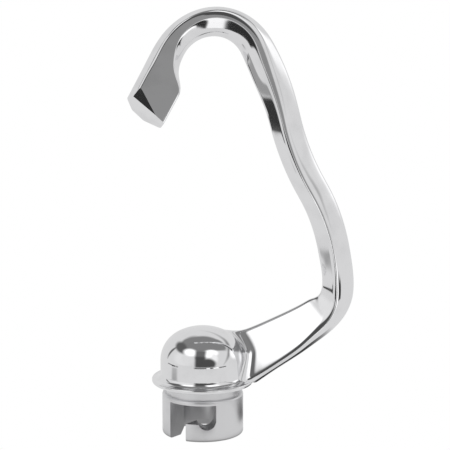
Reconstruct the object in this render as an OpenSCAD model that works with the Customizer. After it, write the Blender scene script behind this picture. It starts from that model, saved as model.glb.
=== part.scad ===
// Dough hook for a stand mixer: a drop-forged bar on a turned hub with a bayonet socket.
// The origin is the middle of the socket's mouth. +Z runs up the socket towards the hook,
// the hook's curve lies in the XZ plane and its arm leaves the hub towards +X.

/* [Drive collar] */
// Outside diameter of the collar
collar_d = 25.4; // [24:0.1:27]
// Height of the collar below its shoulder
collar_h = 13.2; // [13:0.1:15]
// Diameter of the bore that takes the mixer's shaft
bore_d = 12.7; // [12:0.1:13]
// Depth of the bore
bore_depth = 19; // [18:0.5:19.5]
// Bevel at the bore's mouth, measured across the radius
mouth_bevel = 1.4; // [0.5:0.1:2]
// Height of the bevel at the bore's mouth
mouth_bevel_h = 2; // [1:0.1:2.5]
// Radius on the collar's lower outside edge
collar_foot_r = 0.8; // [0.5:0.1:2]
// Radius on the collar's upper outside edge
collar_shoulder_r = 0.8; // [0.3:0.1:1]

/* [Bayonet slot] */
// Width of the slot by which the shaft's cross pin enters
entry_w = 6.2; // [5:0.1:7]
// Width of the pocket where the cross pin comes to rest
pocket_w = 5.8; // [5:0.1:6.5]
// Height of the slot's ceiling above the collar's mouth
slot_top = 11.8; // [11:0.1:12]
// Height of the sill that the cross pin slides over
slot_sill = 5.8; // [5:0.1:7]
// Height of the bottom of the pocket
pocket_bottom = 4; // [3.5:0.1:5]
// Angle that the hook turns from entry to pocket
slot_turn = 45; // [40:1:60]

/* [Neck and flange] */
// Diameter of the turned neck above the collar
neck_d = 23.2; // [21:0.1:24]
// Diameter of the drip flange
flange_d = 31.8; // [30:0.1:34]
// Thickness of the drip flange
flange_t = 1.3; // [1:0.1:2]
// Radius on the edges of the drip flange's rim
flange_rim_r = 0.4; // [0.2:0.1:0.5]
// Height of the drip flange's underside
flange_z = 16.4; // [16:0.1:17]
// Diameter of the spigot that carries the flange and the head
spigot_d = 19; // [17:0.5:20]
// Height of the spigot's flat top
spigot_top = 22; // [21:0.5:22]

/* [Domed head] */
// Diameter of the head
head_d = 26.5; // [26:0.1:28]
// Height at which the head's straight side turns into its shoulder
head_side_z = 23.3; // [22:0.1:24]
// Radius of the head's shoulder
head_shoulder_r = 9.8; // [8:0.1:12]
// Turn of the shoulder before the flatter cap takes over
head_shoulder_turn = 62; // [50:1:80]
// Radius of the hollow round the head's foot
head_foot_r = 1.9; // [1:0.1:2.1]

/* [Fixing of the bar] */
// Diameter of the bar's round tenon
tenon_d = 6.5; // [6:0.5:7]
// Height of the tenon's axis
tenon_z = 25.5; // [25.5:0.1:26]
// How far the tenon's end lies past the hub's axis
tenon_past_axis = 3; // [2:0.5:5]
// Diameter of the lock pin
lock_pin_d = 3; // [2.5:0.5:3]
// Distance from the hub's axis to the lock pin
lock_pin_x = 4; // [3:0.5:5]
// Height of the lock pin's lower end
lock_pin_bottom = 19.8; // [19.6:0.1:20.5]
// Height of the lock pin's upper end
lock_pin_top = 30; // [29.5:0.1:30.5]

/* [Bar] */
// Width of the bar in the middle of its upright; its sections and their places follow it
bar_w = 10.8; // [10.6:0.1:11]

/* [Line of the bar] */
// Height at which the arm's centreline would cross the hub's axis
arm_z = 17; // [15:0.1:18]
// Slope of the arm
arm_slope = 27; // [20:1:35]
// Length of the arm from the hub's axis to the elbow
arm_length = 40.5; // [36:0.5:44]
// Radius of the elbow
elbow_r = 10; // [8:0.5:14]
// Turn of the elbow
elbow_turn = 57; // [50:1:62]
// Radius of the lower bow
bow_r = 56; // [50:1:70]
// Turn of the lower bow
bow_turn = 36; // [30:1:40]
// Radius of the counter-bend
ease_r = 84; // [70:1:100]
// Turn of the counter-bend, the other way
ease_turn = 17; // [12:1:20]
// Radius of the shoulder
shoulder_r = 80; // [60:1:100]
// Turn of the shoulder
shoulder_turn = 17; // [14:1:20]
// Radius of the crown
crown_r = 15; // [13:0.1:17]
// Turn of the crown
crown_turn = 102; // [95:1:108]
// Radius of the run-out from the crown
runout_r = 19; // [16:0.5:24]
// Turn of the run-out
runout_turn = 20; // [15:1:25]
// Length of the straight blade at the end
blade_length = 19; // [18:0.5:23]

/* [Tip of the bar] */
// Lean of the end face towards the outside of the curve
tip_lean = 16; // [0:1:20]
// Lean of the end face towards the front
tip_bevel = 30; // [10:1:35]
// Lean of the corner cut towards the outside of the curve
corner_lean = 35; // [30:1:38]
// Lean of the corner cut towards the front
corner_bevel = 76; // [74:1:78]
// How far past the end face the corner cut would meet the centreline
corner_past_tip = 15.2; // [14.5:0.1:16]

/* [Hidden] */
$fn = 96;
cut = 1; // how far a cutting tool passes the face it opens

collar_r = collar_d / 2;
bore_r = bore_d / 2;
neck_r = neck_d / 2;
flange_r = flange_d / 2;
flange_top = flange_z + flange_t;
spigot_r = spigot_d / 2;
head_r = head_d / 2;
slot_reach = collar_r + cut;
pocket_at = -90; // the pocket faces the front
entry_at = pocket_at - slot_turn;
pocket_shoulder = pocket_bottom + pocket_w / 2; // where the pocket's round bottom ends
cap_r = head_shoulder_r + (head_r - head_shoulder_r) / cos(head_shoulder_turn);
cap_z = head_side_z - (head_r - head_shoulder_r) * tan(head_shoulder_turn);
cutter = 50; // size of the blocks that cut the tip
steel = [0.82, 0.82, 0.83];
satin_steel = [0.72, 0.72, 0.73];

// ---- turned pieces ----------------------------------------------------------------

// What is turned off a square outer corner at [x, y] to leave a radius; side is 1 or -1 (up or down)
module turned_off(x, y, r, side) {
    translate([x - r, y - side * r])
        scale([1, side])
            difference() {
                square(r + cut);
                circle(r = r);
            }
}

module collar_profile() {
    difference() {
        square([collar_r, collar_h]);
        turned_off(collar_r, 0, collar_foot_r, -1);
        turned_off(collar_r, collar_h, collar_shoulder_r, 1);
    }
    square([neck_r, flange_z]);
    square([spigot_r, spigot_top]);
}

// Plan of a slot that leaves the axis at an angle
module slot_plan(angle, w) {
    rotate(angle)
        translate([0, -w / 2])
            square([slot_reach, w]);
}

// Plan of the passage: the entry and the wedge that the pin sweeps on its way to the pocket
module passage_plan() {
    far = slot_reach / cos(slot_turn / 2);
    slot_plan(entry_at, entry_w);
    polygon([
        [0, 0],
        far * [cos(entry_at), sin(entry_at)],
        far * [cos(pocket_at), sin(pocket_at)]
    ]);
}

module bayonet_slot() {
    translate([0, 0, -cut])
        linear_extrude(slot_sill + 2 * cut)
            slot_plan(entry_at, entry_w);
    translate([0, 0, slot_sill])
        linear_extrude(pocket_shoulder - slot_sill + cut)
            passage_plan();
    translate([0, 0, pocket_shoulder])
        linear_extrude(slot_top - pocket_shoulder) {
            passage_plan();
            slot_plan(pocket_at, pocket_w);
        }
    rotate([0, 0, pocket_at])
        translate([0, 0, pocket_shoulder])
            rotate([0, 90, 0])
                cylinder(d = pocket_w, h = slot_reach);
}

module drive_collar() {
    color(satin_steel)
        difference() {
            rotate_extrude() collar_profile();
            translate([0, 0, -cut])
                cylinder(r = bore_r, h = bore_depth + cut);
            translate([0, 0, -mouth_bevel_h])
                cylinder(r1 = bore_r + 2 * mouth_bevel, r2 = bore_r, h = 2 * mouth_bevel_h);
            bayonet_slot();
            lock_pin_solid();
        }
}

module drip_flange() {
    color(steel)
        rotate_extrude()
            difference() {
                translate([spigot_r, flange_z])
                    square([flange_r - spigot_r, flange_t]);
                turned_off(flange_r, flange_top, flange_rim_r, 1);
                turned_off(flange_r, flange_z, flange_rim_r, -1);
            }
}

// Points along an arc round [x, y]
function arc(x, y, r, from, to, steps) =
    [for (i = [0:steps]) let (a = from + (to - from) * i / steps) [x + r * cos(a), y + r * sin(a)]];

// Outside of the head: a hollow foot, a straight side, a shoulder and a flatter cap
module head_solid() {
    rotate_extrude()
        polygon(concat(
            [[0, flange_top]],
            arc(head_r + head_foot_r, flange_top + head_foot_r, head_foot_r, -90, -180, 8),
            arc(head_r - head_shoulder_r, head_side_z, head_shoulder_r, 0, head_shoulder_turn, 14),
            arc(0, cap_z, cap_r, head_shoulder_turn + 4, 86, 5),
            [[0, cap_z + cap_r]]));
}

module lock_pin_solid() {
    translate([lock_pin_x, 0, lock_pin_bottom])
        cylinder(d = lock_pin_d, h = lock_pin_top - lock_pin_bottom);
}

module tenon_solid(from, to) {
    translate([from, 0, tenon_z])
        rotate([0, 90, 0])
            cylinder(d = tenon_d, h = to - from);
}

module hub_head() {
    color(steel)
        difference() {
            head_solid();
            translate([0, 0, flange_top - cut])
                cylinder(r = spigot_r, h = spigot_top - flange_top + cut);
            tenon_solid(-tenon_past_axis, head_r + cut);
            lock_pin_solid();
        }
}

module lock_pin() {
    color(satin_steel) lock_pin_solid();
}

// ---- the bar ----------------------------------------------------------------------

// Each stretch of the centreline: its curvature (left is positive) and its length
function bend(r, turn) = [1 / r, r * turn * PI / 180];
function counter_bend(r, turn) = [-1 / r, r * turn * PI / 180];
stretches = [
    [0, arm_length],
    bend(elbow_r, elbow_turn),
    bend(bow_r, bow_turn),
    counter_bend(ease_r, ease_turn),
    bend(shoulder_r, shoulder_turn),
    bend(crown_r, crown_turn),
    bend(runout_r, runout_turn),
    [0, blade_length]
];
// Steps along each stretch, after its first ring
stretch_steps = [6, 8, 9, 6, 6, 16, 4, 9];

// A place on the line is [x, z, heading in degrees]
function along(place, k, t) =
    k == 0
        ? [place[0] + t * cos(place[2]), place[1] + t * sin(place[2]), place[2]]
        : let (h = place[2] + k * t * 180 / PI)
          [place[0] + (sin(h) - sin(place[2])) / k, place[1] - (cos(h) - cos(place[2])) / k, h];
function stretch_start(i) =
    i == 0 ? [0, arm_z, arm_slope]
           : along(stretch_start(i - 1), stretches[i - 1][0], stretches[i - 1][1]);
function length_before(i) = i == 0 ? 0 : length_before(i - 1) + stretches[i - 1][1];
elbow_at = length_before(1);
bow_at = length_before(2);
ease_at = length_before(3);
shoulder_at = length_before(4);
crown_at = length_before(5);
runout_at = length_before(6);
blade_at = length_before(7);
tip_at = length_before(8);
tip_place = stretch_start(8);
w = bar_w / 10.8; // the sections below are for a bar 10.8 wide
root_at = 11 * w; // where the sweep starts, inside the head
over_tip = 8 * w; // how far the sweep runs on past the tip, for the end cuts

// Sections: where; the half widths towards the inside and the outside of the curve; how far
// the side edges lean out of the middle plane; where the front edge lies across the bar; the
// depth of the front and of the back; the width of the flat on the front edge; how far the
// inner front face bulges; and the rounding of the front edge.
sections = [
    // at                inside outside lean ridge front back  flat bulge round
    [root_at,              8.6,  8.4,  4.2,  -5.6, 7.4, 8.2,   0.4, 0,    0.8],
    [root_at + 4 * w,      8.2,  8.2,  3.9,  -5.6, 7.4, 7.8,   0.4, 0,    0.8],
    [root_at + 9 * w,      7.2,  7.7,  3.2,  -5.4, 7.1, 6.9,   0.4, 0,    0.8],
    [elbow_at - 10 * w,    6.6,  7.0,  2.6,  -4.4, 6.6, 6.5,   0.5, 0,    0.9],
    [elbow_at - 3 * w,     6.5,  6.2,  2.2,  -2.8, 6.1, 6.1,   0.5, 0,    1.2],
    [elbow_at + 3 * w,     6.7,  5.6,  1.6,  -1.5, 5.7, 5.7,   0.6, 0,    1.7],
    [bow_at + 1 * w,       4.4,  6.4,  0.5,  -0.3, 5.3, 5.3,   0.7, 0,    2.0],
    [bow_at + 14 * w,      5.2,  5.6,  0,     0.2, 5.0, 5.0,   0.7, 0,    2.0],
    [ease_at,              5.2,  5.5,  0,     0.8, 5.0, 5.0,   0.7, 0,    2.0],
    [shoulder_at,          5.1,  5.7,  0,     0.3, 5.0, 5.0,   0.8, 0,    2.0],
    [crown_at - 8 * w,     5.8,  5.9,  0,    -0.4, 4.6, 4.8,   1.2, 0.1,  1.2],
    [crown_at + 12 * w,    4.0,  6.0,  0,    -4.2, 4.0, 4.4,   1.8, 1.1,  0.6],
    [runout_at,            4.2,  5.4,  0,    -2.5, 4.0, 4.0,   3.2, 0.7,  0.5],
    [blade_at,             4.9,  5.3,  0,    -0.8, 4.0, 3.8,   5.4, 0.2,  0.5],
    [blade_at + 4 * w,     5.6,  5.3,  0,     0.3, 4.0, 3.7,   7.4, 0,    0.5],
    [blade_at + 6.4 * w,   8.5,  5.2,  0,     2.2, 4.0, 3.6,  11.6, 0,    0.5],
    [blade_at + 8 * w,     8.8,  5.2,  0,     2.4, 4.0, 3.6,  12.0, 0,    0.5],
    [tip_at + over_tip,    8.6,  5.2,  0,     2.3, 4.0, 3.6,  11.8, 0,    0.5]
];
side_round = 1.1; // rounding of the side edges
face_round = 0.8; // rounding of the inner front face
back_share = 0.4; // width of the flat on the back edge, as a share of the front one
corner_steps = 2; // pieces in each rounded edge

// Smooth reading of one column of the table: a cubic through the stations
function slope_at(i, c) =
    let (a = max(i - 1, 0), b = min(i + 1, len(sections) - 1))
    (sections[b][c] - sections[a][c]) / (sections[b][0] - sections[a][0]);
function station_before(s, i = 0) =
    i >= len(sections) - 2 || s < sections[i + 1][0] ? i : station_before(s, i + 1);
function column(s, c) =
    let (i = station_before(s), d = sections[i + 1][0] - sections[i][0], u = (s - sections[i][0]) / d)
    (2 * pow(u, 3) - 3 * pow(u, 2) + 1) * sections[i][c]
    + (pow(u, 3) - 2 * pow(u, 2) + u) * d * slope_at(i, c)
    + (-2 * pow(u, 3) + 3 * pow(u, 2)) * sections[i + 1][c]
    + (pow(u, 3) - pow(u, 2)) * d * slope_at(i + 1, c);

// The section's corners as [inwards, forwards, rounding], front half then back half
function corners(s) =
    let (inside = column(s, 1), outside = column(s, 2), lean = column(s, 3), ridge = column(s, 4),
         front = column(s, 5), back = column(s, 6), flat = column(s, 7), bulge = column(s, 8),
         round = column(s, 9),
         inner_edge = ridge + flat / 2, outer_edge = ridge - flat / 2,
         crest = inside - outside - ridge, back_half = back_share * flat / 2)
    w * [
        [inside, -lean, side_round],
        [(inside + inner_edge) / 2 + bulge, (front - lean) / 2 + bulge, face_round],
        [inner_edge, front, round],
        [outer_edge, front, round],
        [-outside, lean, side_round],
        [crest - back_half, -back, round],
        [crest + back_half, -back, round]
    ];
// A rounded corner: a curve from one edge to the next, starting r back from the corner
function toward(a, b, r) =
    let (d = [b[0] - a[0], b[1] - a[1]], l = norm(d)) [a[0], a[1]] + d * min(r, 0.45 * l) / l;
function rounded(before, corner, after) =
    let (p = toward(corner, before, corner[2]), q = toward(corner, after, corner[2]), m = [corner[0], corner[1]])
    [for (i = [0:corner_steps]) let (t = i / corner_steps)
        (1 - t) * (1 - t) * p + 2 * t * (1 - t) * m + t * t * q];
function outline(s) =
    let (c = corners(s), n = len(c))
    [for (i = [0:n - 1]) each rounded(c[(i + n - 1) % n], c[i], c[(i + 1) % n])];

// One ring of the bar, in space
function ring(i, t) =
    let (place = along(stretch_start(i), stretches[i][0], t), h = place[2])
    [for (p = outline(length_before(i) + t))
        [place[0] - p[0] * sin(h), -p[1], place[1] + p[0] * cos(h)]];

function ring_places() = [
    [0, root_at],
    for (i = [0:len(stretches) - 1])
        for (j = [1:stretch_steps[i]])
            let (t = stretches[i][1] * j / stretch_steps[i])
            if (i > 0 || t > root_at + 2) [i, t],
    [len(stretches) - 1, blade_length + over_tip]
];

module swept_bar() {
    rings = [for (r = ring_places()) ring(r[0], r[1])];
    n = len(rings[0]);
    last = len(rings) - 1;
    polyhedron(
        points = [for (r = rings) each r],
        faces = concat(
            [[for (i = [0:n - 1]) i]],
            [[for (i = [n - 1:-1:0]) last * n + i]],
            [for (j = [0:last - 1], i = [0:n - 1])
                let (a = j * n + i, b = j * n + (i + 1) % n)
                each [[a, a + n, b], [b, a + n, b + n]]]));
}

// A block whose face cuts the tip: where it meets the centreline, leaned outwards and forwards
module tip_cutter(past_tip, lean, bevel) {
    translate([tip_place[0], 0, tip_place[1]])
        rotate([0, -tip_place[2], 0])
            translate([past_tip, 0, 0])
                rotate([0, lean, 0])
                    rotate([0, 0, -bevel])
                        translate([0, -cutter / 2, -cutter / 2])
                            cube([cutter / 2, cutter, cutter]);
}

module hook_bar() {
    color(steel)
        difference() {
            union() {
                difference() {
                    swept_bar();
                    head_solid();
                    cylinder(r = flange_r, h = flange_top);
                    tip_cutter(0, tip_lean, tip_bevel);
                    tip_cutter(corner_past_tip, corner_lean, corner_bevel);
                }
                intersection() {
                    tenon_solid(-tenon_past_axis, head_r);
                    head_solid();
                }
            }
            lock_pin_solid();
        }
}

drive_collar();
drip_flange();
hub_head();
lock_pin();
hook_bar();
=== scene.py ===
"""Looks of a dough hook for a stand mixer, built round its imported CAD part.

The hook stands on its drive collar. Lengths are written in millimetres, as on a drawing, and
become metres where a mesh is made. +Z runs up the drive socket, the hook's curve lies in the
XZ plane, and the front is towards -Y.
"""

import json
import logging
import math
from dataclasses import dataclass, field
from enum import Enum

import bmesh
import bpy
from mathutils import Matrix, Vector

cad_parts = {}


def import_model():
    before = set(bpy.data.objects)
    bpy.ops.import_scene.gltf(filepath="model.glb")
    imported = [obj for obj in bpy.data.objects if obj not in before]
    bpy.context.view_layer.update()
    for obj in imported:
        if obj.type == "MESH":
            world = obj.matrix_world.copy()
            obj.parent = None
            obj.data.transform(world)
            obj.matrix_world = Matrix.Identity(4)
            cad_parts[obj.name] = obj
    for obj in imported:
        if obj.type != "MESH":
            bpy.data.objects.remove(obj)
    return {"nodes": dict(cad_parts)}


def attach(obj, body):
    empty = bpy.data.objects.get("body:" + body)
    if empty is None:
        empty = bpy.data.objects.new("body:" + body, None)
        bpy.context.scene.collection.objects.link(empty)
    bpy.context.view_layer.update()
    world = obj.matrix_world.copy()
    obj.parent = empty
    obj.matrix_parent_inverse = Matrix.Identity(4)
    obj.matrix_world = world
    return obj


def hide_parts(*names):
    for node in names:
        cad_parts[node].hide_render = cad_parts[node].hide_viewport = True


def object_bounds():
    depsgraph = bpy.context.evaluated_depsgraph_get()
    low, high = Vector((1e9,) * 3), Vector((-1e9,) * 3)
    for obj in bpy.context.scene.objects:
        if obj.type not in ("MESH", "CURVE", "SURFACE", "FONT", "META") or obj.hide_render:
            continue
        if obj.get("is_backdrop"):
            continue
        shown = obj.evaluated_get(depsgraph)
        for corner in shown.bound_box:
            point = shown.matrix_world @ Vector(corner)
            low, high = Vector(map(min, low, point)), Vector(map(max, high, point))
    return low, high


MM = 0.001
BODY = "root"
WELD = 1e-7
ROUND_STEPS = 192
BEVEL_SEGMENTS = 3
FRONT = Vector((0, -1, 0))
LOG = logging.getLogger("dough_hook")

Piece = bpy.types.Object
Steel = bpy.types.Material
Socket = bpy.types.NodeSocket
Pair = tuple[float, float]


# ---- finishes ----


class Slot(Enum):
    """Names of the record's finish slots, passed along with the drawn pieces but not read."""

    POLISHED = "polished_steel"
    SATIN = "satin_steel"


class NodeChain:
    """Adds and links nodes of one tree with little writing."""

    def __init__(self, tree: bpy.types.NodeTree) -> None:
        """Wraps a node tree and empties it.

        Args:
            tree: The tree of a material or a world.
        """
        self.tree = tree
        self.tree.nodes.clear()

    def add(self, kind: str, **settings: object) -> bpy.types.Node:
        """Adds a node.

        Args:
            kind: Blender's type name of the node.
            **settings: Properties to set on the node.

        Returns:
            The new node.
        """
        node = self.tree.nodes.new(kind)
        for name, value in settings.items():
            setattr(node, name, value)
        return node

    def link(self, source: Socket, target: Socket) -> None:
        """Links one socket to another."""
        self.tree.links.new(source, target)

    def math(self, operation: str, *values: object) -> Socket:
        """Adds a Math node.

        Args:
            operation: Blender's name of the operation.
            *values: Numbers or sockets, one for each input.

        Returns:
            The node's output socket.
        """
        node = self.add("ShaderNodeMath", operation=operation)
        for socket, value in zip(node.inputs, values):
            if isinstance(value, (int, float)):
                socket.default_value = value
            else:
                self.link(value, socket)
        return node.outputs[0]

    def ramp(self, value: Socket, low: float, high: float) -> Socket:
        """Smooth step of a value from 0 at low to 1 at high."""
        node = self.add("ShaderNodeMapRange", interpolation_type="SMOOTHSTEP")
        node.inputs["From Min"].default_value = low
        node.inputs["From Max"].default_value = high
        self.link(value, node.inputs["Value"])
        return node.outputs["Result"]


@dataclass(frozen=True)
class SteelFinish:
    """A steel surface: its colour, its gloss and the marks that polishing or turning left.

    Attributes:
        name: Name of the material.
        colour: Reflected colour, linear.
        dark: Colour where the metal is a little duller.
        gloss: Lowest and highest roughness.
        cloud_size: Size of the patches where gloss and colour vary, in millimetres.
        ripple: Depth of the long soft waves of hand polishing, in millimetres.
        ripple_size: Length of those waves, in millimetres.
        turning: Depth of the fine rings that a lathe leaves, in millimetres.
        turning_pitch: Distance between those rings, in millimetres.
        grain: Depth of the fine grain, in millimetres.
        grain_size: Size of that grain, in millimetres.
        colour_span: Part of the noise over which the colour changes.
        gloss_span: Part of the noise over which the gloss changes.
        ring_scale: How quickly a turned ring changes on its way round, for each metre.
    """

    name: str
    colour: tuple[float, float, float]
    dark: tuple[float, float, float]
    gloss: Pair
    cloud_size: float = 9.0
    ripple: float = 0.0
    ripple_size: float = 6.0
    turning: float = 0.0
    turning_pitch: float = 0.2
    grain: float = 0.0
    grain_size: float = 0.25
    colour_span: Pair = (0.3, 0.55)
    gloss_span: Pair = (0.3, 0.7)
    ring_scale: float = 30.0

    def material(self) -> Steel:
        """Builds the material.

        Returns:
            A procedural metal on Object coordinates.
        """
        material = bpy.data.materials.new(self.name)
        material.use_nodes = True
        chain = NodeChain(material.node_tree)
        out = chain.add("ShaderNodeOutputMaterial")
        shader = chain.add("ShaderNodeBsdfPrincipled")
        shader.inputs["Metallic"].default_value = 1.0
        chain.link(shader.outputs[0], out.inputs["Surface"])
        place = chain.add("ShaderNodeTexCoord").outputs["Object"]

        clouds = self._noise(chain, place, self.cloud_size, detail=4.0)
        mix = chain.add("ShaderNodeMix", data_type="RGBA")
        mix.inputs["A"].default_value = (*self.dark, 1.0)
        mix.inputs["B"].default_value = (*self.colour, 1.0)
        chain.link(chain.ramp(clouds, *self.colour_span), mix.inputs["Factor"])
        chain.link(mix.outputs["Result"], shader.inputs["Base Color"])

        gloss = chain.add("ShaderNodeMapRange")
        span = (*self.gloss_span, *reversed(self.gloss))
        for name, value in zip(("From Min", "From Max", "To Min", "To Max"), span):
            gloss.inputs[name].default_value = value
        chain.link(clouds, gloss.inputs["Value"])
        chain.link(gloss.outputs["Result"], shader.inputs["Roughness"])

        heights = []
        if self.ripple:
            waves = self._noise(chain, place, self.ripple_size, detail=1.0)
            heights.append(chain.math("MULTIPLY", waves, self.ripple * MM))
        if self.grain:
            fine = self._noise(chain, place, self.grain_size, detail=3.0)
            heights.append(chain.math("MULTIPLY", fine, self.grain * MM))
        if self.turning:
            heights.append(chain.math("MULTIPLY", self._rings(chain, place), self.turning * MM))
        if heights:
            height = heights[0]
            for more in heights[1:]:
                height = chain.math("ADD", height, more)
            bump = chain.add("ShaderNodeBump")
            bump.inputs["Strength"].default_value = 1.0
            bump.inputs["Distance"].default_value = 1.0
            chain.link(height, bump.inputs["Height"])
            chain.link(bump.outputs["Normal"], shader.inputs["Normal"])
        return material

    def _noise(self, chain: NodeChain, place: Socket, size: float, detail: float) -> Socket:
        """Noise with features of a size in millimetres."""
        noise = chain.add("ShaderNodeTexNoise")
        noise.inputs["Scale"].default_value = 1.0 / (size * MM)
        noise.inputs["Detail"].default_value = detail
        chain.link(place, noise.inputs["Vector"])
        return noise.outputs["Fac"]

    def _rings(self, chain: NodeChain, place: Socket) -> Socket:
        """Fine rings round the Z axis: noise that changes quickly along Z and slowly round it."""
        squeeze = chain.add("ShaderNodeMapping")
        along = 1.0 / (self.turning_pitch * MM)
        squeeze.inputs["Scale"].default_value = (self.ring_scale, self.ring_scale, along)
        chain.link(place, squeeze.inputs["Vector"])
        return self._noise(chain, squeeze.outputs["Vector"], 1.0 / MM, detail=2.0)


MIRROR_POLISH = SteelFinish(
    name="mirror_polished_steel",
    colour=(0.86, 0.86, 0.87),
    dark=(0.80, 0.80, 0.81),
    gloss=(0.035, 0.075),
    ripple=0.03,
    ripple_size=9.0,
)
SATIN_TURNED = SteelFinish(
    name="satin_turned_steel",
    colour=(0.76, 0.76, 0.77),
    dark=(0.70, 0.70, 0.71),
    gloss=(0.30, 0.40),
    grain=0.002,
    turning=0.003,
)
GROUND_PIN = SteelFinish(
    name="ground_pin_steel",
    colour=(0.62, 0.62, 0.64),
    dark=(0.52, 0.52, 0.54),
    gloss=(0.25, 0.35),
    turning=0.002,
)


# ---- helpers for meshes ----


def arc(x: float, y: float, r: float, start: float, end: float, steps: int) -> list[Pair]:
    """Points along an arc.

    Args:
        x: First coordinate of the centre.
        y: Second coordinate of the centre.
        r: Radius.
        start: Angle of the first point, in degrees.
        end: Angle of the last point, in degrees.
        steps: Number of pieces.

    Returns:
        steps + 1 points.
    """
    angles = [math.radians(start + (end - start) * i / steps) for i in range(steps + 1)]
    return [(x + r * math.cos(a), y + r * math.sin(a)) for a in angles]


def turned(name: str, profile: list[Pair], steps: int = ROUND_STEPS) -> Piece:
    """Turns a closed profile round the Z axis.

    Args:
        name: Name of the piece.
        profile: Points (radius, height) in millimetres; the first and last lie on the axis.
        steps: Number of faces round the axis.

    Returns:
        The turned piece.
    """
    bm = bmesh.new()
    verts = [bm.verts.new((r * MM, 0.0, z * MM)) for r, z in profile]
    edges = [bm.edges.new(pair) for pair in zip(verts, verts[1:])]
    bmesh.ops.spin(
        bm,
        geom=verts + edges,
        cent=(0, 0, 0),
        axis=(0, 0, 1),
        dvec=(0, 0, 0),
        angle=2 * math.pi,
        steps=steps,
        use_merge=True,
    )
    bmesh.ops.remove_doubles(bm, verts=bm.verts, dist=WELD)
    bmesh.ops.recalc_face_normals(bm, faces=bm.faces)
    return piece_from(bm, name)


def piece_from(bm: bmesh.types.BMesh, name: str) -> Piece:
    """Makes an object from a bmesh and frees the bmesh."""
    mesh = bpy.data.meshes.new(name)
    bm.to_mesh(mesh)
    bm.free()
    piece = bpy.data.objects.new(name, mesh)
    bpy.context.scene.collection.objects.link(piece)
    return piece


def extruded(
    bm: bmesh.types.BMesh, faces: list[bmesh.types.BMFace], by: tuple[float, ...], name: str
) -> Piece:
    """Extrudes faces along a vector into a closed piece."""
    grown = bmesh.ops.extrude_face_region(bm, geom=faces)
    moved = [g for g in grown["geom"] if isinstance(g, bmesh.types.BMVert)]
    bmesh.ops.translate(bm, vec=by, verts=moved)
    bmesh.ops.recalc_face_normals(bm, faces=bm.faces)
    return piece_from(bm, name)


def applied(piece: Piece) -> Piece:
    """Applies every modifier of a piece.

    Args:
        piece: The object, whose modifiers are taken off.

    Returns:
        The same object with the finished mesh.
    """
    depsgraph = bpy.context.evaluated_depsgraph_get()
    mesh = bpy.data.meshes.new_from_object(piece.evaluated_get(depsgraph))
    piece.modifiers.clear()
    old = piece.data
    piece.data = mesh
    mesh.name = piece.name
    bpy.data.meshes.remove(old)
    return piece


def smooth_shaded(piece: Piece, crease_degrees: float = 28.0) -> None:
    """Shades a piece smooth, with sharp edges where its faces turn by more than an angle."""
    piece.data.shade_smooth()
    bm = bmesh.new()
    bm.from_mesh(piece.data)
    limit = math.radians(crease_degrees)
    for edge in bm.edges:
        edge.smooth = len(edge.link_faces) != 2 or edge.calc_face_angle(0.0) < limit
    bm.to_mesh(piece.data)
    bm.free()


def bevel(bm: bmesh.types.BMesh, edges: list[bmesh.types.BMEdge], width: float) -> None:
    """Rounds edges over a width in millimetres."""
    bmesh.ops.bevel(
        bm,
        geom=edges,
        offset=width * MM,
        offset_type="OFFSET",
        affect="EDGES",
        segments=BEVEL_SEGMENTS,
        profile=0.5,
        clamp_overlap=True,
        material=-1,
    )


def dressed(piece: Piece, material: Steel, slot: Slot, *nodes: str) -> Piece:
    """Gives a piece its material and ties it to the CAD part.

    Args:
        piece: The finished piece.
        material: Its material.
        slot: A finish slot of the record; not used.
        *nodes: CAD nodes that it stands for.

    Returns:
        The piece.
    """
    piece.data.materials.clear()
    piece.data.materials.append(material)
    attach(piece, BODY)
    if nodes:
        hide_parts(*nodes)
    LOG.info("%s: %d faces", piece.name, len(piece.data.polygons))
    return piece


# ---- hub ----


@dataclass
class HubHead:
    """The domed head over the drip flange, turned and mirror polished (millimetres)."""

    radius: float = 13.25
    foot_z: float = 17.7
    foot_r: float = 1.9
    side_z: float = 23.3
    shoulder_r: float = 9.8
    shoulder_turn: float = 62.0
    cap_gap: float = 1.5
    sunk: float = 0.1

    @property
    def ring_r(self) -> float:
        """Radius of the ring that the shoulder's centres lie on."""
        return self.radius - self.shoulder_r

    @property
    def cap_r(self) -> float:
        """Radius of the flatter cap."""
        return self.shoulder_r + self.ring_r / math.cos(math.radians(self.shoulder_turn))

    @property
    def cap_z(self) -> float:
        """Height of the cap's centre."""
        return self.side_z - self.ring_r * math.tan(math.radians(self.shoulder_turn))

    def clearance(self, point: Vector) -> float:
        """Distance from a point to the head's outside.

        Args:
            point: A point, in millimetres.

        Returns:
            The distance, negative inside the head.
        """
        rho = math.hypot(point.x, point.y)
        if point.z <= self.side_z:
            return rho - self.radius
        across, rise = rho - self.ring_r, point.z - self.side_z
        if math.degrees(math.atan2(rise, across)) <= self.shoulder_turn:
            return math.hypot(across, rise) - self.shoulder_r
        return math.hypot(rho, point.z - self.cap_z) - self.cap_r

    def build(self, finish: Steel) -> Piece:
        """Turns the head and dresses it.

        Args:
            finish: The polished steel.

        Returns:
            The head.
        """
        turn, foot = self.shoulder_turn, self.foot_r
        profile = [(0.0, self.foot_z - self.sunk), (self.radius + foot, self.foot_z - self.sunk)]
        profile += arc(self.radius + foot, self.foot_z + foot, foot, -90, -180, steps=20)
        profile += arc(self.ring_r, self.side_z, self.shoulder_r, 0, turn, steps=48)
        profile += arc(0.0, self.cap_z, self.cap_r, turn + self.cap_gap, 90, steps=24)
        profile[-1] = (0.0, self.cap_z + self.cap_r)
        head = turned("domed_head", profile)
        smooth_shaded(head)
        return dressed(head, finish, Slot.POLISHED, "hub_head")


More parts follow.
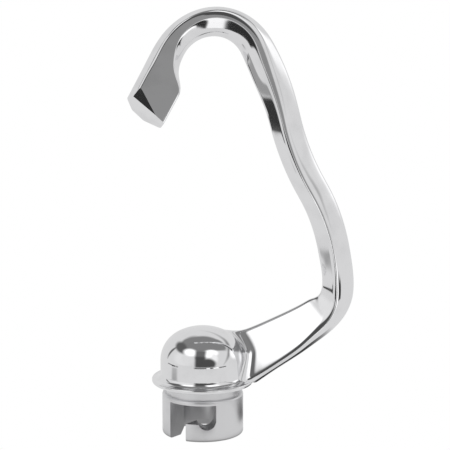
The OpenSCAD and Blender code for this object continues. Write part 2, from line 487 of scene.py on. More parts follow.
@dataclass
class DripFlange:
    """The thin flange under the head (millimetres)."""

    radius: float = 15.9
    bottom_z: float = 16.4
    thickness: float = 1.3
    rim_r: float = 0.4

    @property
    def top_z(self) -> float:
        """Height of the flange's top face."""
        return self.bottom_z + self.thickness

    def build(self, finish: Steel) -> Piece:
        """Turns the flange and dresses it.

        Args:
            finish: The polished steel.

        Returns:
            The flange.
        """
        r = self.rim_r
        profile = [(0.0, self.bottom_z)]
        profile += arc(self.radius - r, self.bottom_z + r, r, -90, 0, steps=8)
        profile += arc(self.radius - r, self.top_z - r, r, 0, 90, steps=8)
        profile += [(0.0, self.top_z)]
        flange = turned("drip_flange_disc", profile)
        smooth_shaded(flange)
        return dressed(flange, finish, Slot.POLISHED, "drip_flange")


@dataclass
class DriveCollar:
    """The collar with its blind bore and bayonet slot (millimetres)."""

    radius: float = 12.7
    height: float = 13.2
    bore_r: float = 6.35
    bore_depth: float = 19.0
    mouth_bevel: float = 1.4
    mouth_bevel_h: float = 2.0
    foot_r: float = 0.8
    shoulder_r: float = 0.8
    neck_r: float = 11.6
    spigot_r: float = 9.5
    spigot_top: float = 22.0
    flange_z: float = 16.4
    entry_w: float = 6.2
    pocket_w: float = 5.8
    slot_top: float = 11.8
    slot_sill: float = 5.8
    pocket_bottom: float = 4.0
    slot_turn: float = 45.0
    pocket_at: float = -90.0
    edge_break: float = 0.22
    sharp_from: float = 35.0
    crease: float = 24.0
    past: float = 2.0
    weld: float = 2e-6
    steps: int = 144

    def build(self, finish: Steel) -> Piece:
        """Turns the collar, cuts the slot, breaks its edges and dresses it.

        Args:
            finish: The satin steel.

        Returns:
            The collar.
        """
        collar = self._turned_body()
        for tool in (self._entry_tool(), self._passage_tool(), self._pocket_tool()):
            cut = collar.modifiers.new("cut", "BOOLEAN")
            cut.operation = "DIFFERENCE"
            cut.solver = "EXACT"
            cut.object = tool
            collar = applied(collar)
            bpy.data.objects.remove(tool)
        self._break_slot_edges(collar)
        smooth_shaded(collar, self.crease)
        return dressed(collar, finish, Slot.SATIN, "drive_collar")

    def _turned_body(self) -> Piece:
        """The collar, neck and spigot with the blind bore."""
        foot, shoulder = self.foot_r, self.shoulder_r
        profile = [(0.0, self.bore_depth), (self.bore_r, self.bore_depth)]
        profile += [(self.bore_r, self.mouth_bevel_h), (self.bore_r + self.mouth_bevel, 0.0)]
        profile += arc(self.radius - foot, foot, foot, -90, 0, steps=8)
        profile += arc(self.radius - shoulder, self.height - shoulder, shoulder, 0, 90, steps=8)
        profile += [(self.neck_r, self.height), (self.neck_r, self.flange_z)]
        profile += [(self.spigot_r, self.flange_z), (self.spigot_r, self.spigot_top)]
        profile += [(0.0, self.spigot_top)]
        return turned("bayonet_collar", profile, self.steps)

    def _turn_to_entry(self, bm: bmesh.types.BMesh) -> None:
        """Turns a tool from the X axis to the entry."""
        turn = Matrix.Rotation(math.radians(self.pocket_at - self.slot_turn), 3, "Z")
        bmesh.ops.rotate(bm, cent=(0, 0, 0), matrix=turn, verts=bm.verts)

    def _entry_tool(self) -> Piece:
        """The tool of the straight entry."""
        bm = bmesh.new()
        bmesh.ops.create_cube(bm, size=1.0)
        reach, bottom, top = self.radius + self.past, -self.past, self.slot_top
        size = Vector((reach, self.entry_w, top - bottom)) * MM
        bmesh.ops.scale(bm, vec=size, verts=bm.verts)
        middle = Vector((reach / 2, 0.0, (top + bottom) / 2)) * MM
        bmesh.ops.translate(bm, vec=middle, verts=bm.verts)
        self._turn_to_entry(bm)
        return piece_from(bm, "entry_tool")

    def _passage_tool(self) -> Piece:
        """The tool of the passage that the cross pin turns through."""
        near, far, steps = 0.5, self.radius + self.past, 12
        bm = bmesh.new()
        start = bm.verts.new((near * MM, 0.0, self.slot_sill * MM))
        end = bm.verts.new((far * MM, 0.0, self.slot_sill * MM))
        edge = bm.edges.new((start, end))
        self._turn_to_entry(bm)
        bmesh.ops.spin(
            bm,
            geom=[start, end, edge],
            cent=(0, 0, 0),
            axis=(0, 0, 1),
            dvec=(0, 0, 0),
            angle=math.radians(self.slot_turn),
            steps=steps,
        )
        rise = (0, 0, (self.slot_top - self.slot_sill) * MM)
        return extruded(bm, bm.faces[:], rise, "passage_tool")

    def _pocket_tool(self) -> Piece:
        """The tool of the pocket: a slab with a half-round bottom."""
        bm = bmesh.new()
        half = self.pocket_w / 2
        centre = self.pocket_bottom + half
        points = [(-half, self.slot_top), (half, self.slot_top)]
        points += arc(0.0, centre, half, 0, -180, steps=28)
        verts = [bm.verts.new((x * MM, 0.0, z * MM)) for x, z in points]
        face = bm.faces.new(verts)
        return extruded(bm, [face], (0, -(self.radius + self.past) * MM, 0), "pocket_tool")

    def _break_slot_edges(self, collar: Piece) -> None:
        """Bevels the sharp edges that the slot and the bore's mouth leave."""
        bm = bmesh.new()
        bm.from_mesh(collar.data)
        bmesh.ops.remove_doubles(bm, verts=bm.verts, dist=self.weld)
        bmesh.ops.dissolve_degenerate(bm, dist=self.weld, edges=bm.edges)
        limit, above, within = math.radians(self.sharp_from), 0.2, 0.3
        edges = []
        for edge in bm.edges:
            middle = (edge.verts[0].co + edge.verts[1].co) / (2 * MM)
            rho = math.hypot(middle.x, middle.y)
            on_slot = middle.z < self.slot_top + above and rho > self.bore_r - within
            if on_slot and len(edge.link_faces) == 2 and edge.calc_face_angle(0.0) > limit:
                edges.append(edge)
        bevel(bm, edges, self.edge_break)
        bm.to_mesh(collar.data)
        bm.free()


# ---- bar ----


@dataclass(frozen=True)
class Stretch:
    """One stretch of the bar's centreline.

    Attributes:
        length: Its length.
        turn: How far it turns to the left, in degrees.
    """

    length: float
    turn: float = 0.0

    def place(self, start: tuple[float, float, float], t: float) -> tuple[float, float, float]:
        """Place and heading at a distance along the stretch.

        Args:
            start: x, z and heading (radians) where the stretch begins.
            t: Distance from its start.

        Returns:
            x, z and heading there.
        """
        x, z, heading = start
        if self.turn == 0.0:
            return x + t * math.cos(heading), z + t * math.sin(heading), heading
        k = math.radians(self.turn) / self.length
        new = heading + k * t
        across, up = math.sin(new) - math.sin(heading), math.cos(new) - math.cos(heading)
        return x + across / k, z - up / k, new


def bend(radius: float, turn: float) -> Stretch:
    """A stretch along an arc; a negative turn bends it the other way."""
    return Stretch(radius * math.radians(abs(turn)), turn)


@dataclass(frozen=True)
class Section:
    """The bar's section at one station (millimetres).

    Attributes:
        at: Distance along the centreline.
        inside: Half width towards the inside of the curve.
        outside: Half width towards the outside.
        lean: How far the side edges lean out of the middle plane.
        ridge: Where the front edge lies across the bar.
        front: Depth of the front edge.
        back: Depth of the back edge.
        flat: Width of the flat on the front edge.
        bulge: How far the inner front face bulges.
        rounding: Rounding of the front edge.
    """

    at: float
    inside: float
    outside: float
    lean: float
    ridge: float
    front: float
    back: float
    flat: float
    bulge: float
    rounding: float


@dataclass(frozen=True)
class TipCut:
    """A flat cut at the tip.

    Attributes:
        past: How far past the tip it crosses the centreline, in millimetres.
        lean: How far it faces to the outside of the curve, in degrees.
        forward: How far it faces to the front, in degrees.
    """

    past: float
    lean: float
    forward: float


@dataclass
class HookBar:
    """The forged bar from its root on the head to the blade (millimetres)."""

    head: HubHead
    flange: DripFlange
    arm_z: float = 17.0
    arm_slope: float = 27.0
    arm_length: float = 40.5
    elbow: Pair = (10.0, 57.0)
    bow: Pair = (56.0, 36.0)
    ease: Pair = (84.0, -17.0)
    shoulder: Pair = (80.0, 17.0)
    crown: Pair = (15.0, 102.0)
    runout: Pair = (19.0, 20.0)
    blade_length: float = 19.0
    over_tip: float = 8.0
    tip_cuts: tuple[TipCut, ...] = (TipCut(0.0, 16.0, 30.0), TipCut(15.2, 35.0, 76.0))
    tip_reach: float = 30.0
    tip_round: float = 0.2
    root_fillet: float = 3.2
    root_steps: tuple[float, ...] = (-0.9, -0.25, 0.08, 0.35, 0.8, 1.4, 2.2, 3.2, 4.4, 6.0)
    planar_at: float = 30.0
    side_round: float = 1.1
    face_round: float = 0.8
    back_share: float = 0.4
    cage_reach: float = 1.7
    round_flat: float = 1.3
    ring_step: float = 2.8
    levels: int = 2
    crease: float = 32.0
    stretches: list[Stretch] = field(default_factory=list)
    sections: list[Section] = field(default_factory=list)

    def __post_init__(self) -> None:
        """Works out the stretches of the centreline and the stations of the sections."""
        self.stretches = [
            Stretch(self.arm_length),
            bend(*self.elbow),
            bend(*self.bow),
            bend(*self.ease),
            bend(*self.shoulder),
            bend(*self.crown),
            bend(*self.runout),
            Stretch(self.blade_length + self.over_tip),
        ]
        self.sections = self._sections()

    @property
    def tip_at(self) -> float:
        """Distance along the centreline to the tip."""
        return self._before(7) + self.blade_length

    def _before(self, index: int) -> float:
        """Length of the stretches before one."""
        return sum(stretch.length for stretch in self.stretches[:index])

    def _sections(self) -> list[Section]:
        """The stations, from the root to past the tip."""
        root = 11.0
        elbow, bow, ease, shoulder, crown, runout, blade = (self._before(i) for i in range(1, 8))
        end = self.tip_at + self.over_tip
        return [
            Section(root, 8.6, 8.4, 4.2, -5.6, 7.4, 8.2, 0.4, 0.0, 0.8),
            Section(root + 4, 8.2, 8.2, 3.9, -5.6, 7.4, 7.8, 0.4, 0.0, 0.8),
            Section(root + 9, 7.2, 7.7, 3.2, -5.4, 7.1, 6.9, 0.4, 0.0, 0.8),
            Section(elbow - 10, 6.6, 7.0, 2.6, -4.4, 6.6, 6.5, 0.5, 0.0, 0.9),
            Section(elbow - 3, 6.5, 6.2, 2.2, -2.8, 6.1, 6.1, 0.5, 0.0, 1.2),
            Section(elbow + 3, 6.7, 5.6, 1.6, -1.5, 5.7, 5.7, 0.6, 0.0, 1.7),
            Section(bow + 1, 4.4, 6.4, 0.5, -0.3, 5.3, 5.3, 0.7, 0.0, 2.0),
            Section(bow + 14, 5.2, 5.6, 0.0, 0.2, 5.0, 5.0, 0.7, 0.0, 2.0),
            Section(ease, 5.2, 5.5, 0.0, 0.8, 5.0, 5.0, 0.7, 0.0, 2.0),
            Section(shoulder, 5.1, 5.7, 0.0, 0.3, 5.0, 5.0, 0.8, 0.0, 2.0),
            Section(crown - 8, 5.8, 5.9, 0.0, -0.4, 4.6, 4.8, 1.2, 0.1, 1.2),
            Section(crown + 12, 4.0, 6.0, 0.0, -4.2, 4.0, 4.4, 1.8, 1.1, 0.6),
            Section(runout, 4.2, 5.4, 0.0, -2.5, 4.0, 4.0, 3.2, 0.7, 0.5),
            Section(blade, 4.9, 5.3, 0.0, -0.8, 4.0, 3.8, 5.4, 0.2, 0.5),
            Section(blade + 4, 5.6, 5.3, 0.0, 0.3, 4.0, 3.7, 7.4, 0.0, 0.5),
            Section(blade + 6.4, 8.5, 5.2, 0.0, 2.2, 4.0, 3.6, 11.6, 0.0, 0.5),
            Section(blade + 8, 8.8, 5.2, 0.0, 2.4, 4.0, 3.6, 12.0, 0.0, 0.5),
            Section(end, 8.6, 5.2, 0.0, 2.3, 4.0, 3.6, 11.8, 0.0, 0.5),
        ]

    def place(self, s: float) -> tuple[float, float, float]:
        """x, z and heading at a distance along the centreline."""
        start = (0.0, self.arm_z, math.radians(self.arm_slope))
        for stretch in self.stretches[:-1]:
            if s <= stretch.length:
                return stretch.place(start, s)
            start = stretch.place(start, stretch.length)
            s -= stretch.length
        return self.stretches[-1].place(start, s)

    def read(self, name: str, s: float) -> float:
        """Smooth reading of one size of the section.

        Args:
            name: Name of the size.
            s: Distance along the centreline.

        Returns:
            The size there, from a cubic through the stations.
        """
        stations = self.sections
        last = len(stations) - 2
        i = max((k for k in range(last + 1) if stations[k].at <= s), default=0)
        values = [getattr(station, name) for station in stations]
        places = [station.at for station in stations]

        def slope(k: int) -> float:
            """Slope through the stations on either side."""
            low, high = max(k - 1, 0), min(k + 1, len(stations) - 1)
            return (values[high] - values[low]) / (places[high] - places[low])

        span = places[i + 1] - places[i]
        u = (s - places[i]) / span
        return (
            (2 * u**3 - 3 * u**2 + 1) * values[i]
            + (u**3 - 2 * u**2 + u) * span * slope(i)
            + (-2 * u**3 + 3 * u**2) * values[i + 1]
            + (u**3 - u**2) * span * slope(i + 1)
        )

    def corners(self, s: float) -> list[tuple[float, float, float]]:
        """Corners of the section as (inwards, forwards, rounding)."""
        inside, outside, lean = (self.read(n, s) for n in ("inside", "outside", "lean"))
        ridge, front, back = (self.read(n, s) for n in ("ridge", "front", "back"))
        flat, bulge, rounding = (self.read(n, s) for n in ("flat", "bulge", "rounding"))
        inner, outer = ridge + flat / 2, ridge - flat / 2
        crest, half = inside - outside - ridge, self.back_share * flat / 2
        return [
            (inside, -lean, self.side_round),
            ((inside + inner) / 2 + bulge, (front - lean) / 2 + bulge, self.face_round),
            (inner, front, rounding),
            (outer, front, rounding),
            (-outside, lean, self.side_round),
            (crest - half, -back, rounding),
            (crest + half, -back, rounding),
        ]

    def outline(self, s: float) -> list[Pair]:
        """Control points of the section: three for each corner, for a subdivided cage."""
        longest = 0.45
        corners = self.corners(s)
        points = []
        for i, (n, b, rounding) in enumerate(corners):
            for other in (corners[i - 1], None, corners[(i + 1) % len(corners)]):
                if other is None:
                    points.append((n, b))
                    continue
                dn, db = other[0] - n, other[1] - b
                length = math.hypot(dn, db)
                reach = min(self.cage_reach * rounding, longest * length) / length
                points.append((n + dn * reach, b + db * reach))
        sharp = min(1.0, max(0.0, (self.read("flat", s) - self.round_flat) / self.round_flat))
        sharp = sharp * sharp * (3 - 2 * sharp)
        # Corners 2 and 5 are the first ones of the front ridge and of the back edge.
        for corner in (2, 5):
            first = 3 * corner
            arch = self._arch(points[first], points[first + 5], corners, corner)
            for k, (n, b) in enumerate(arch):
                old = points[first + k]
                points[first + k] = (n + (old[0] - n) * sharp, b + (old[1] - b) * sharp)
        return points

    def _arch(
        self,
        start: Pair,
        end: Pair,
        corners: list[tuple[float, float, float]],
        corner: int,
    ) -> list[Pair]:
        """Six points round the ridge, for stretches where its two edges merge into one round.

        Args:
            start: Where the round starts on one face.
            end: Where it ends on the other face.
            corners: The section's corners.
            corner: Index of the first of the ridge's two corners.

        Returns:
            Points of a smooth curve that is tangent to both faces.
        """
        one, two = corners[corner], corners[(corner + 1) % len(corners)]
        apex = ((one[0] + two[0]) / 2, (one[1] + two[1]) / 2)
        curve = []
        for k in range(6):
            u = k / 5
            weighted = list(zip(((1 - u) ** 2, 2 * u * (1 - u), u * u), (start, apex, end)))
            curve.append((sum(w * p[0] for w, p in weighted), sum(w * p[1] for w, p in weighted)))
        return curve

    def point(self, s: float, index: int) -> Vector:
        """A control point of the section in space."""
        x, z, heading = self.place(s)
        n, b = self.outline(s)[index]
        return Vector((x - n * math.sin(heading), -b, z + n * math.cos(heading)))

    def outward(self, s: float, index: int) -> Vector:
        """Direction out of the bar at a control point, in the section's plane."""
        heading = self.place(s)[2]
        points = self.outline(s)
        before, after = points[index - 1], points[(index + 1) % len(points)]
        dn, db = after[0] - before[0], after[1] - before[1]
        n, b = -db, dn
        here = points[index]
        if n * here[0] + b * here[1] < 0:
            n, b = -n, -b
        length = math.hypot(n, b)
        n, b = n / length, b / length
        return Vector((-n * math.sin(heading), -b, n * math.cos(heading)))

    def _meeting(self, index: int, away: float) -> float:
        """Distance along the centreline where a line of control points is so far from the head."""
        halvings, span = 40, 4.0
        low, high = span, self.planar_at + span
        for _ in range(halvings):
            middle = (low + high) / 2
            if self.head.clearance(self.point(middle, index)) < away:
                low = middle
            else:
                high = middle
        return middle

    def _settled(self, point: Vector, tangent: Vector, away: float) -> Vector:
        """Slides a point along the arm until it is so far from the head."""
        rounds, probe, least, most = 4, 0.05, 0.01, 2.0
        for _ in range(rounds):
            slip = self.head.clearance(point) - away
            ahead = self.head.clearance(point + tangent * probe) - self.head.clearance(point)
            if abs(ahead) < least:
                break
            point = point - tangent * max(-most, min(most, slip * probe / ahead))
        return point

    def _root_rings(self) -> list[list[Vector]]:
        """Rings that blend the bar into the head with a fillet.

        Returns:
            Rings from inside the head to the last one before the plain rings.
        """
        count = len(self.outline(self.planar_at))
        fillet = self.root_fillet
        slope = math.radians(self.arm_slope)
        tangent = Vector((math.cos(slope), 0.0, math.sin(slope)))
        rings = []
        for away in self.root_steps:
            left = max(0.0, fillet - max(away, 0.0))
            flare = fillet - math.sqrt(max(fillet**2 - left**2, 0.0))
            places = [self._meeting(index, away) for index in range(count)]
            flared = [self.point(s, i) + self.outward(s, i) * flare for i, s in enumerate(places)]
            rings.append([self._settled(point, tangent, away) for point in flared])
        for share in (1 / 3, 2 / 3):
            eased = [s + (self.planar_at - s) * share for s in places]
            rings.append([self.point(s, i) for i, s in enumerate(eased)])
        beside, sunk = 0.2, 0.5
        for ring in rings:
            for point in ring:
                if math.hypot(point.x, point.y) < self.flange.radius + beside:
                    point.z = max(point.z, self.flange.top_z - sunk)
        return rings

    def _ring_places(self) -> list[float]:
        """Where the plain rings lie."""
        start, end = self.planar_at, self.tip_at + self.over_tip
        count = round((end - start) / self.ring_step)
        return [start + (end - start) * i / count for i in range(count + 1)]

    def build(self, finish: Steel) -> Piece:
        """Sweeps the bar, subdivides it, cuts its tip and dresses it.

        Args:
            finish: The polished steel.

        Returns:
            The bar.
        """
        rings = self._root_rings()
        for s in self._ring_places():
            rings.append([self.point(s, i) for i in range(len(rings[0]))])
        bar = self._swept("forged_bar", rings)
        subdivision = bar.modifiers.new("rounding", "SUBSURF")
        subdivision.levels = self.levels
        subdivision.render_levels = self.levels
        bar = applied(bar)
        self._cut_tip(bar)
        smooth_shaded(bar, self.crease)
        # The cuts at the tip are the only faces with more than four corners, and they are flat.
        for polygon in bar.data.polygons:
            polygon.use_smooth = len(polygon.vertices) <= 4
        return dressed(bar, finish, Slot.POLISHED, "hook_bar")

    def _swept(self, name: str, rings: list[list[Vector]]) -> Piece:
        """Extrudes the first ring through all the others.

        Args:
            name: Name of the piece.
            rings: Rings of the same number of points, in millimetres.

        Returns:
            The closed cage.
        """
        bm = bmesh.new()
        made = bmesh.ops.create_circle(bm, cap_ends=True, radius=MM, segments=len(rings[0]))
        verts = list(made["verts"])
        for vert, point in zip(verts, rings[0]):
            vert.co = point * MM
        for ring in rings[1:]:
            edges = [bm.edges.get(pair) for pair in zip(verts[-1:] + verts, verts)]
            grown = bmesh.ops.extrude_edge_only(bm, edges=edges)
            fresh = {g for g in grown["geom"] if isinstance(g, bmesh.types.BMVert)}
            verts = [
                next(e.other_vert(v) for e in v.link_edges if e.other_vert(v) in fresh)
                for v in verts
            ]
            for vert, point in zip(verts, ring):
                vert.co = point * MM
        edges = [bm.edges.get(pair) for pair in zip(verts[-1:] + verts, verts)]
        bmesh.ops.contextual_create(bm, geom=edges)
        bmesh.ops.recalc_face_normals(bm, faces=bm.faces)
        return piece_from(bm, name)

    def _tip_planes(self) -> list[tuple[Vector, Vector]]:
        """Cuts at the tip as (place, direction that is cut away)."""
        x, z, heading = self.place(self.tip_at)
        along = Vector((math.cos(heading), 0.0, math.sin(heading)))
        inward = Vector((-math.sin(heading), 0.0, math.cos(heading)))
        planes = []
        for cut in self.tip_cuts:
            lean, forward = math.radians(cut.lean), math.radians(cut.forward)
            direction = along * math.cos(lean) - inward * math.sin(lean)
            direction = direction * math.cos(forward) + FRONT * math.sin(forward)
            planes.append((Vector((x, 0.0, z)) + along * cut.past, direction))
        return planes

    def _cut_tip(self, bar: Piece) -> None:
        """Cuts the facets of the tip and rounds their edges a little.

        Args:
            bar: The bar, with its modifiers applied.
        """
        bm = bmesh.new()
        bm.from_mesh(bar.data)
        caps = []
        for place, direction in self._tip_planes():
            # Each plane would go through the arm as well, so it cuts only what lies near the tip.
            reach = self.tip_reach
            near = [f for f in bm.faces if (f.calc_center_median() / MM - place).length < reach]
            parts = dict.fromkeys(part for f in near for part in (f, *f.edges, *f.verts))
            cut = bmesh.ops.bisect_plane(
                bm,
                geom=list(parts),
                dist=WELD,
                plane_co=place * MM,
                plane_no=direction,
                clear_outer=True,
            )
            edges = [g for g in cut["geom_cut"] if isinstance(g, bmesh.types.BMEdge)]
            filled = bmesh.ops.contextual_create(bm, geom=edges)
            caps += filled["faces"]
        rim = dict.fromkeys(e for f in caps if f.is_valid for e in f.edges)
        bevel(bm, list(rim), self.tip_round)
        bmesh.ops.recalc_face_normals(bm, faces=bm.faces)
        bm.to_mesh(bar.data)
        bm.free()


# ---- studio ----


@dataclass(frozen=True)
class Panel:
    """A far panel of the studio, seen only as a reflection.

    Attributes:
        azimuth: Direction of its middle from the front, positive to the right, in degrees.
        elevation: Height of its middle above the horizon, in degrees.
        width: Its width, in degrees.
        height: Its height, in degrees.
        level: Its brightness, where 1 is white.
        softness: How softly it ends, in degrees.
        roll: How far it is turned in its own plane, in degrees.
        rounded: Whether it is an ellipse and not a rectangle.
    """

    azimuth: float
    elevation: float
    width: float
    height: float
    level: float
    softness: float = 3.0
    roll: float = 0.0
    rounded: bool = False


@dataclass(frozen=True)
class FloorPatch:
    """A part of the floor that is darker or lighter than the rest, as a ring segment.

    Attributes:
        azimuth: Direction of its middle from the front, positive to the right, in degrees.
        width: Its width, in degrees.
        near: Where it starts, in metres from the hook.
        far: Where it ends, in metres from the hook.
        level: Its brightness, where 1 is white.
        softness: How softly its sides end, in degrees.
        blur: How softly its far side ends, as a share of its distance.
    """

    azimuth: float
    width: float
    near: float
    far: float
    level: float
    softness: float = 6.0
    blur: float = 0.05


@dataclass
class Studio:
    """A pale floor, soft light and the camera."""

    camera_place: tuple[float, float, float] = (-0.09996, -0.95106, 0.29237)
    camera_azimuth: float = -6.419
    camera_elevation: float = 13.277
    lens: float = 253.2
    room_level: float = 0.76
    floor_level: float = 0.76
    floor_radius: float = 3.0
    floor_drop: float = 0.0001
    near_blur: float = 0.004
    panels: tuple[Panel, ...] = (
        Panel(-62, 20, 60, 50, 0.86, 20, rounded=True),
        Panel(-6, 90, 104, 62, 0.24, 7, rounded=True),
        Panel(-112, 66, 56, 36, 0.24, 8, rounded=True),
        Panel(-99, 45, 52, 24, 0.12, 8, rounded=True),
        Panel(-116, 20, 7, 36, 0.15, 4, -8, rounded=True),
        Panel(98, 34, 84, 9, 0.28, 7, 28, rounded=True),
        Panel(97, 17, 26, 24, 1.2, 10, rounded=True),
        Panel(-53, 47, 36, 24, 1.4, 10, rounded=True),
        Panel(21, 47, 40, 27, 1.4, 9, rounded=True),
        Panel(31, 30, 16, 30, 1, 10, rounded=True),
        Panel(-14, 44, 27, 34, 0.15, 11),
        Panel(-14, 15, 27, 44, 0.08, 10),
        Panel(6, 8, 48, 42, 0.08, 10, 16, rounded=True),
    )
    patches: tuple[FloorPatch, ...] = (
        # Painted shade: the floor is darker under the collar and inside its bore, where the hook
        # shades it.
        FloorPatch(0, 720, -1, 0.014, 0.3, blur=0.15),
        # Painted shade: a dark stretch of floor beside the head, under the arm, where the hook
        # shades the floor.
        FloorPatch(110, 34, 0.024, 0.064, 0.05, 5, 0.15),
        FloorPatch(0, 56, 0.36, 3, 0.30, 12),
        FloorPatch(-12, 33, 0.19, 0.31, 0.03, blur=0.12),
        FloorPatch(8.5, 9, 0.19, 0.31, 1.15, 2, 0.12),
        FloorPatch(17.5, 9, 0.19, 0.31, 0.03, 2, 0.12),
        FloorPatch(29, 14, 0.19, 0.31, 1.25, 3, 0.12),
        FloorPatch(-84, 17, 0.079, 0.095, 0.27, 9, 0.3),
        FloorPatch(48, 20, 0.20, 0.31, 0.05, 3, 0.12),
        FloorPatch(-82, 4, 0.130, 0.17, 1.1, 2),
        FloorPatch(-89, 12, 0.135, 0.20, 0.04, 3),
        FloorPatch(-102, 16, 0.160, 0.20, 0.04, 3),
        FloorPatch(-78, 9, 0.130, 0.22, 0.36, 3),
    )

    def build(self) -> None:
        """Makes the camera, the world and the floor."""
        self._camera()
        self._world()
        self._floor()
        bpy.context.scene.view_settings.view_transform = "Standard"

    def _camera(self) -> None:
        """Places the camera."""
        data = bpy.data.cameras.new("camera")
        data.sensor_width = 36.0
        data.lens = self.lens
        camera = bpy.data.objects.new("camera", data)
        camera.location = self.camera_place
        tilt = math.radians(90.0 - self.camera_elevation)
        camera.rotation_euler = (tilt, 0.0, math.radians(self.camera_azimuth))
        bpy.context.scene.collection.objects.link(camera)
        bpy.context.scene.camera = camera

    def _world(self) -> None:
        """A pale room with the panels in it, white where the camera looks past the hook."""
        world = bpy.data.worlds.new("studio")
        bpy.context.scene.world = world
        world.use_nodes = True
        chain = NodeChain(world.node_tree)
        out = chain.add("ShaderNodeOutputWorld")
        direction = chain.add("ShaderNodeTexCoord").outputs["Generated"]
        level: object = self.room_level
        for panel in self.panels:
            mask = self._panel_mask(chain, direction, panel)
            level = self._layered(chain, level, mask, panel.level)
        self._shown(chain, "ShaderNodeBackground", level, out)

    def _layered(self, chain: NodeChain, under: object, mask: Socket, level: float) -> object:
        """Lays a level over another where the mask is 1."""
        kept = chain.math("MULTIPLY", under, chain.math("SUBTRACT", 1.0, mask))
        return chain.math("ADD", kept, chain.math("MULTIPLY", mask, level))

    def _shown(self, chain: NodeChain, kind: str, level: object, out: bpy.types.Node) -> None:
        """Shows white to the camera and a level to every other ray.

        Args:
            chain: The nodes of the world or of the floor.
            kind: Blender's type name of the shader.
            level: The level's socket.
            out: The tree's output node.
        """
        seen, white = chain.add(kind), chain.add(kind)
        chain.link(level, seen.inputs["Color"])
        white.inputs["Color"].default_value = (1, 1, 1, 1)
        mix = chain.add("ShaderNodeMixShader")
        chain.link(chain.add("ShaderNodeLightPath").outputs["Is Camera Ray"], mix.inputs["Fac"])
        chain.link(seen.outputs[0], mix.inputs[1])
        chain.link(white.outputs[0], mix.inputs[2])
        chain.link(mix.outputs[0], out.inputs["Surface"])

    def _panel_mask(self, chain: NodeChain, direction: Socket, panel: Panel) -> Socket:
        """1 where a direction points at the panel, 0 elsewhere.

        Args:
            chain: The world's nodes.
            direction: The direction looked in.
            panel: The panel.

        Returns:
            The mask.
        """
        a, e = math.radians(panel.azimuth), math.radians(panel.elevation)
        middle = Vector((math.sin(a) * math.cos(e), -math.cos(a) * math.cos(e), math.sin(e)))
        right = Vector((math.cos(a), math.sin(a), 0.0))
        turn = Matrix.Rotation(math.radians(panel.roll), 3, middle)
        right = turn @ right
        up = right.cross(middle)
        ahead = self._dot(chain, direction, middle)
        mask = chain.math("GREATER_THAN", ahead, 0.0)
        angles = []
        for axis in (right, up):
            across = chain.math("ABSOLUTE", self._dot(chain, direction, axis))
            angles.append(chain.math("ARCTAN2", across, ahead))
        halves = [math.radians(size / 2) for size in (panel.width, panel.height)]
        soft = math.radians(panel.softness / 2)
        if panel.rounded:
            shares = [chain.math("DIVIDE", angle, half) for angle, half in zip(angles, halves)]
            squares = [chain.math("POWER", share, 2.0) for share in shares]
            away = chain.math("SQRT", chain.math("ADD", *squares))
            edge = soft / min(halves)
            return chain.math("MULTIPLY", mask, chain.ramp(away, 1 + edge, 1 - edge))
        for angle, half in zip(angles, halves):
            mask = chain.math("MULTIPLY", mask, chain.ramp(angle, half + soft, half - soft))
        return mask

    def _dot(self, chain: NodeChain, direction: Socket, axis: Vector) -> Socket:
        """Dot product of the direction and a fixed axis."""
        node = chain.add("ShaderNodeVectorMath", operation="DOT_PRODUCT")
        chain.link(direction, node.inputs[0])
        node.inputs[1].default_value = axis
        return node.outputs["Value"]

    def _floor(self) -> None:
        """A pale floor that the collar stands on, with darker and lighter patches; the two dark
        patches round the hook's foot are painted shade.
        """
        bm = bmesh.new()
        bmesh.ops.create_circle(bm, cap_ends=True, radius=self.floor_radius, segments=96)
        bmesh.ops.translate(bm, vec=(0, 0, -self.floor_drop), verts=bm.verts)
        floor = piece_from(bm, "floor")
        material = bpy.data.materials.new("pale_floor")
        material.use_nodes = True
        chain = NodeChain(material.node_tree)
        out = chain.add("ShaderNodeOutputMaterial")
        place = chain.add("ShaderNodeTexCoord").outputs["Object"]
        split = chain.add("ShaderNodeSeparateXYZ")
        chain.link(place, split.inputs[0])
        x, y = split.outputs["X"], split.outputs["Y"]
        squares = [chain.math("MULTIPLY", along, along) for along in (x, y)]
        away = chain.math("SQRT", chain.math("ADD", *squares))
        level: object = self.floor_level
        for patch in self.patches:
            mask = self._patch_mask(chain, x, y, away, patch)
            level = self._layered(chain, level, mask, patch.level)
        self._shown(chain, "ShaderNodeEmission", level, out)
        floor.data.materials.append(material)
        floor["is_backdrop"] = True

    def _patch_mask(
        self,
        chain: NodeChain,
        x: Socket,
        y: Socket,
        away: Socket,
        patch: FloorPatch,
    ) -> Socket:
        """1 on a patch of the floor, 0 elsewhere.

        Args:
            chain: The floor's nodes.
            x: Place across.
            y: Place in depth.
            away: Distance from the hook.
            patch: The patch.

        Returns:
            The mask.
        """
        a = math.radians(patch.azimuth)
        sine, cosine = math.sin(a), math.cos(a)
        (x_sine, x_cosine), (y_sine, y_cosine) = (
            [chain.math("MULTIPLY", along, part) for part in (sine, cosine)] for along in (x, y)
        )
        ahead = chain.math("SUBTRACT", x_sine, y_cosine)
        across = chain.math("ADD", x_cosine, y_sine)
        angle = chain.math("ABSOLUTE", chain.math("ARCTAN2", across, ahead))
        half, soft = math.radians(patch.width / 2), math.radians(patch.softness)
        mask = chain.ramp(angle, half + soft / 2, half - soft / 2)
        near = chain.ramp(away, patch.near - self.near_blur, patch.near + self.near_blur)
        mask = chain.math("MULTIPLY", mask, near)
        far, blur = patch.far, patch.blur
        return chain.math("MULTIPLY", mask, chain.ramp(away, far * (1 + blur), far * (1 - blur)))


# ---- whole part ----


def box_numbers(bounds: object) -> object:
    """A bounds value as plain lists of numbers."""
    if isinstance(bounds, (int, float)):
        return float(bounds)
    return [box_numbers(value) for value in bounds]


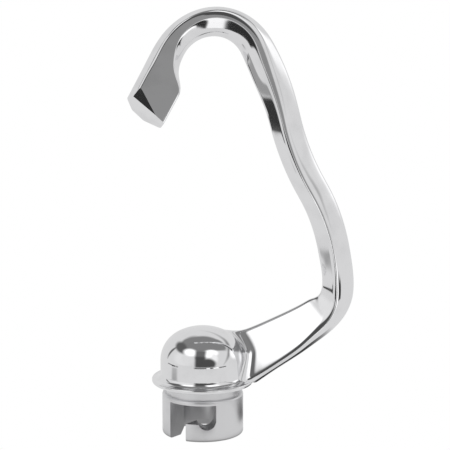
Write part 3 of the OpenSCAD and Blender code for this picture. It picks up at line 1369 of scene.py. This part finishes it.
def main() -> None:
    """Builds the hook's looks on the frame."""
    logging.basicConfig(level=logging.INFO, format="%(name)s: %(message)s")
    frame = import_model()
    cad_box = box_numbers(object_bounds())
    Studio().build()
    polished = MIRROR_POLISH.material()
    satin = SATIN_TURNED.material()
    pin_steel = GROUND_PIN.material()
    head = HubHead()
    flange = DripFlange()
    head.build(polished)
    flange.build(polished)
    DriveCollar().build(satin)
    HookBar(head, flange).build(polished)
    pin = frame["nodes"]["lock_pin"]
    pin.data.materials.clear()
    pin.data.materials.append(pin_steel)
    json.dumps({"cad": cad_box, "visual": box_numbers(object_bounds())})


if __name__ == "__main__":
    main()
